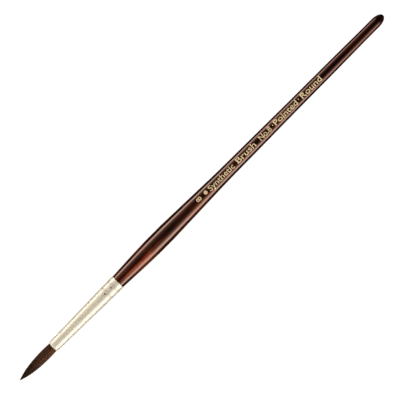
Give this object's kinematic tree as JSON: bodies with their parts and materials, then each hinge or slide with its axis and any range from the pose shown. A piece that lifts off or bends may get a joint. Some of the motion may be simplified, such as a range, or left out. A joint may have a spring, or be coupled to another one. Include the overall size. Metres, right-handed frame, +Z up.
{
  "type": "round artist's paint brush",
  "caption": "Round pointed artist's brush: dark lacquered wooden handle, tapered seamless metal ferrule with rolled crimps, brown filament tuft that bends.",
  "frame": {"origin": "on the table, under the middle of the brush's length; the brush lies on its side with its axis 4.0 mm up", "axes": "+X along the brush from the point of the hair to the butt of the handle, +Z up from the table, +Y across"},
  "size_m": [0.216, 0.008, 0.008],
  "materials": {
    "lacquered_wood": "stained dark mahogany brown in streaks under clear gloss lacquer",
    "nickel_plate": "brass tube, warm nickel plate, polished",
    "filament": "fine dark brown synthetic filaments, satin",
    "thread": "unbleached twisted cotton",
    "resin": "cast amber resin",
    "wood_glue": "dried cream wood glue"
  },
  "bodies": {
    "brush": {"handle": "lacquered_wood", "ferrule": "nickel_plate", "handle_glue": "wood_glue", "resin_plug": "resin", "binding_thread": "thread", "hair_root": "filament"},
    "tuft_belly": {"tuft_belly": "filament"},
    "tuft_toe": {"tuft_toe": "filament"}
  },
  "joints": [
    {"name": "heel_bend", "type": "hinge", "parent": "brush", "child": "tuft_belly", "pos_m": [-0.0912, 0, 0.004], "axis": [0, 0, 1], "range_deg": [-25, 25], "stiffness_Nm_per_rad": 0.005},
    {"name": "toe_bend", "type": "hinge", "parent": "tuft_belly", "child": "tuft_toe", "pos_m": [-0.099, 0, 0.004], "axis": [0, 0, 1], "range_deg": [-35, 35], "stiffness_Nm_per_rad": 0.0012}
  ]
}
